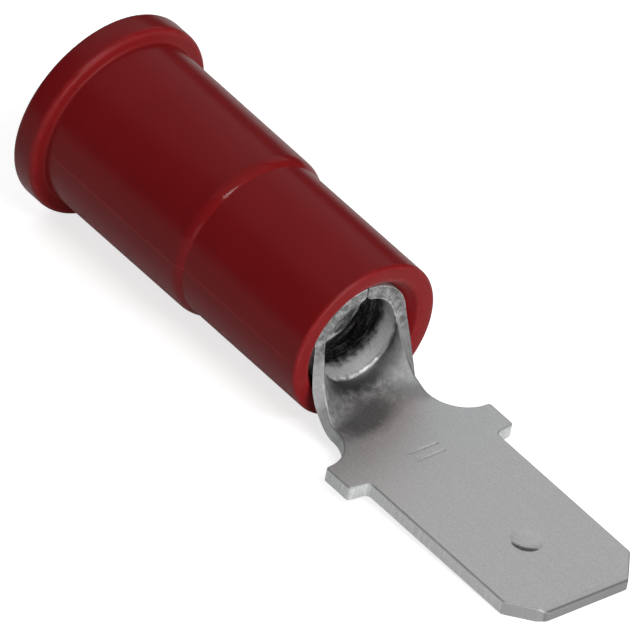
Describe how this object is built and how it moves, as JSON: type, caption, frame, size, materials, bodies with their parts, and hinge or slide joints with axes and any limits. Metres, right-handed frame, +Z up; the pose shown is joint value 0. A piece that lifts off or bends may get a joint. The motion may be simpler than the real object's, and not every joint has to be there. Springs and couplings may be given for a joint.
{
  "type": "male spade terminal",
  "caption": "Insulated crimp terminal: a red moulded sleeve with a flange at the wire entry, and a flat metal tab with stop ears, a bevelled tip and a latch dimple.",
  "frame": {"origin": "centre of the wire entry, on the sleeve's rear face", "axes": "+X along the sleeve and the tab, from the wire entry toward the tip; +Z up, out of the tab's upper face and toward the barrel's seam; +Y across the tab"},
  "size_m": [0.0225, 0.0064, 0.0064],
  "materials": {
    "insulator": "satin red moulding",
    "terminal": "matt tin plating over brass"
  },
  "bodies": {
    "root": {"insulator": "insulator", "terminal": "terminal"}
  },
  "joints": []
}
